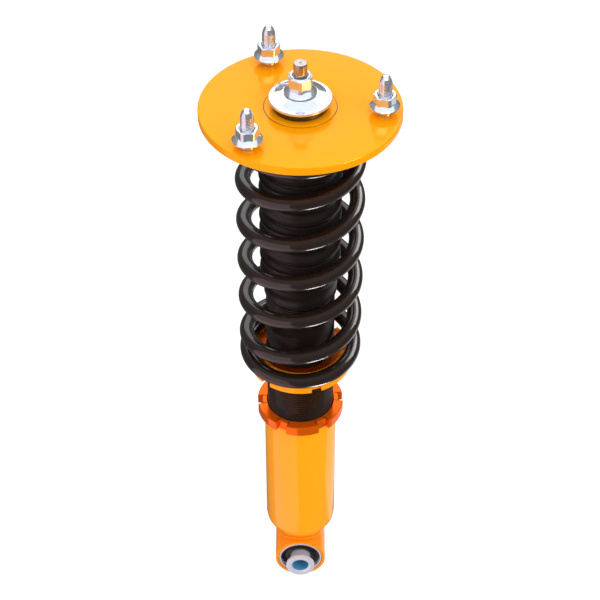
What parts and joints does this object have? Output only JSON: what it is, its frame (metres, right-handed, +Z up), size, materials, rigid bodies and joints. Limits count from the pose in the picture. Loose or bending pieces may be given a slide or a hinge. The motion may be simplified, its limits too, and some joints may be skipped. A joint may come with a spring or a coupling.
{
  "type": "coilover",
  "caption": "Adjustable coil-over damper with a round studded top plate, a coil spring over a bellows boot and a lower eye.",
  "frame": {"origin": "centre of the top plate's mounting face, on the damper's axis", "axes": "+Z up along the damper's axis towards the body shell, Y along the eye's bolt, +X to the right seen from -Y"},
  "size_m": [0.1432, 0.1432, 0.5245],
  "materials": {
    "orange_anodised_aluminium": "bright dip, gold-orange anodised",
    "deep_orange_anodised_aluminium": "deep orange anodised",
    "bright_zinc_plated_steel": "bright zinc plating",
    "ground_steel": "ground",
    "black_powder_coat": "gloss black powder coat",
    "black_coated_steel": "satin black coating",
    "black_anodised_aluminium": "satin black anodised",
    "black_rubber": "moulded, matt",
    "microcellular_foam": "matt foam",
    "bearing_polymer": "matt"
  },
  "bodies": {
    "top_mount": {"top_plate": "orange_anodised_aluminium", "centre_insert": "orange_anodised_aluminium", "stud_1": "bright_zinc_plated_steel", "stud_2": "bright_zinc_plated_steel", "stud_3": "bright_zinc_plated_steel", "stud_nut_1": "bright_zinc_plated_steel", "stud_nut_2": "bright_zinc_plated_steel", "stud_nut_3": "bright_zinc_plated_steel", "upper_spring_seat": "black_anodised_aluminium", "dust_boot": "black_rubber"},
    "rod": {"piston_rod": "ground_steel", "rod_nut": "bright_zinc_plated_steel", "upper_cup_washer": "bright_zinc_plated_steel", "upper_rubber_bush": "black_rubber", "lower_rubber_bush": "black_rubber", "spacer_sleeve": "bright_zinc_plated_steel", "lower_cup_washer": "bright_zinc_plated_steel", "bump_stop": "microcellular_foam", "rebound_stop": "bearing_polymer", "rebound_shims": "ground_steel", "piston": "ground_steel", "piston_band": "bearing_polymer", "compression_shims": "ground_steel", "piston_nut": "ground_steel"},
    "damper_body": {"damper_tube": "black_coated_steel", "gland_nut": "ground_steel", "rod_seal": "black_rubber", "rod_guide": "ground_steel", "guide_bush": "bearing_polymer", "base_cap": "ground_steel", "gas_plug": "ground_steel"},
    "gas_piston": {"floating_piston": "black_anodised_aluminium", "floating_piston_ring": "black_rubber"},
    "spring_stack": {"coil_spring": "black_powder_coat"},
    "perch": {"spring_perch": "deep_orange_anodised_aluminium"},
    "bracket": {"bracket_tube": "orange_anodised_aluminium", "eye_barrel": "orange_anodised_aluminium", "bush_outer_ring": "ground_steel", "bush_rubber": "black_rubber"},
    "lock_ring": {"lower_lock_ring": "deep_orange_anodised_aluminium"},
    "eye_bolt_sleeve": {"eye_sleeve": "bright_zinc_plated_steel"}
  },
  "joints": [
    {"name": "rod_swivel", "type": "hinge", "parent": "top_mount", "child": "rod", "pos_m": [0, 0, 0], "axis": [0, 0, 1], "range_deg": [-40, 40]},
    {"name": "rod_stroke", "type": "slide", "parent": "rod", "child": "damper_body", "axis": [0, 0, 1], "range_m": [0, 0.06], "stiffness_N_per_m": 56000, "deforming": ["dust_boot", "coil_spring"]},
    {"name": "gas_piston_travel", "type": "slide", "parent": "damper_body", "child": "gas_piston", "axis": [0, 0, -1], "range_m": [0, 0.005]},
    {"name": "perch_height", "type": "slide", "parent": "damper_body", "child": "spring_stack", "axis": [0, 0, 1], "range_m": [-0.03, 0]},
    {"name": "perch_spin", "type": "hinge", "parent": "spring_stack", "child": "perch", "pos_m": [0, 0, -0.235], "axis": [0, 0, 1], "range_deg": [-5400, 0]},
    {"name": "bracket_length", "type": "slide", "parent": "damper_body", "child": "bracket", "axis": [0, 0, 1], "range_m": [-0.03, 0.012]},
    {"name": "lock_ring_spin", "type": "hinge", "parent": "bracket", "child": "lock_ring", "pos_m": [0, 0, -0.293], "axis": [0, 0, 1], "range_deg": [-5400, 2160]},
    {"name": "eye_bush_twist", "type": "hinge", "parent": "bracket", "child": "eye_bolt_sleeve", "pos_m": [0, 0, -0.467], "axis": [0, 1, 0], "range_deg": [-15, 15], "stiffness_Nm_per_rad": 60}
  ],
  "couplings": [
    {"joint": "gas_piston_travel", "follows": "rod_stroke", "ratio": 0.0807},
    {"joint": "perch_spin", "follows": "perch_height", "rad_per_m": 3141.6},
    {"joint": "lock_ring_spin", "follows": "bracket_length", "rad_per_m": 3141.6}
  ]
}
